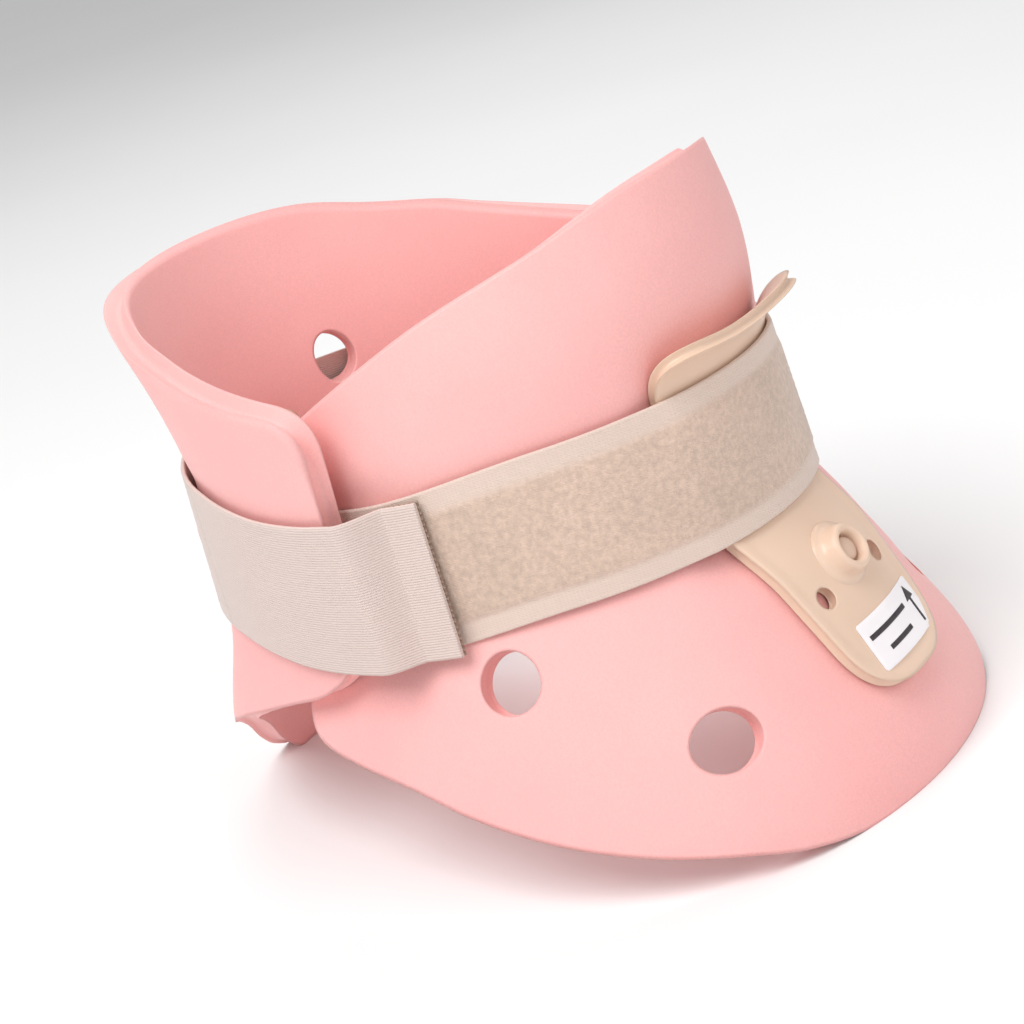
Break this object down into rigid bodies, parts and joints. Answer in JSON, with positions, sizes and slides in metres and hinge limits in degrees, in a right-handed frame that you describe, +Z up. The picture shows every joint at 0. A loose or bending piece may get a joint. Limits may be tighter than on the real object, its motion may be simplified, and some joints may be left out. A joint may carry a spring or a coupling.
{
  "type": "cervical collar",
  "caption": "Two-piece foam neck brace with a moulded chin strut and hook-and-loop side straps; stands on its chest flap and rear base.",
  "frame": {"origin": "middle of the footprint, on the table the collar stands on", "axes": "+Z up, -Y to the wearer's front (chin), +X to the wearer's left"},
  "size_m": [0.1632, 0.2079, 0.1539],
  "materials": {
    "foam": "matt closed-cell foam, salmon pink",
    "strut_plastic": "satin moulded plastic, beige",
    "loop_tape": "brushed pile tape with plain selvedges",
    "webbing": "plain woven tape",
    "hook_tape": "moulded hook tape",
    "rivet_plastic": "smooth moulded plastic",
    "label": "white printed film"
  },
  "bodies": {
    "rear": {"rear_shell": "foam", "rear_strut": "strut_plastic", "rear_pins": "strut_plastic", "rear_strap": "webbing", "strap_rivets": "rivet_plastic", "rivet_washers": "rivet_plastic"},
    "front": {"front_shell": "foam", "front_strut": "strut_plastic", "front_pin": "strut_plastic", "front_loop_strap": "loop_tape", "front_label": "label"},
    "left_arm": {"left_strap_arm": "webbing"},
    "left_tab": {"left_tab": "webbing", "left_hook": "hook_tape"},
    "right_arm": {"right_strap_arm": "webbing"},
    "right_tab": {"right_tab": "webbing", "right_hook": "hook_tape"}
  },
  "joints": [
    {"name": "shell_separation", "type": "slide", "parent": "rear", "child": "front", "axis": [0, -1, 0], "range_m": [0, 0.12]},
    {"name": "left_strap_swing", "type": "hinge", "parent": "rear", "child": "left_arm", "pos_m": [0.05467, 0.06113, 0.08279], "axis": [-0.0547, -0.009, 0.9985], "range_deg": [0, 55]},
    {"name": "left_tab_peel", "type": "hinge", "parent": "left_arm", "child": "left_tab", "pos_m": [0.07726, 0.00314, 0.07862], "axis": [0.0049, 0.0563, 0.9984], "range_deg": [0, 110]},
    {"name": "right_strap_swing", "type": "hinge", "parent": "rear", "child": "right_arm", "pos_m": [-0.05467, 0.06113, 0.08279], "axis": [-0.0547, 0.009, -0.9985], "range_deg": [0, 55]},
    {"name": "right_tab_peel", "type": "hinge", "parent": "right_arm", "child": "right_tab", "pos_m": [-0.07726, 0.00314, 0.07862], "axis": [0.0049, -0.0563, -0.9984], "range_deg": [0, 110]}
  ]
}
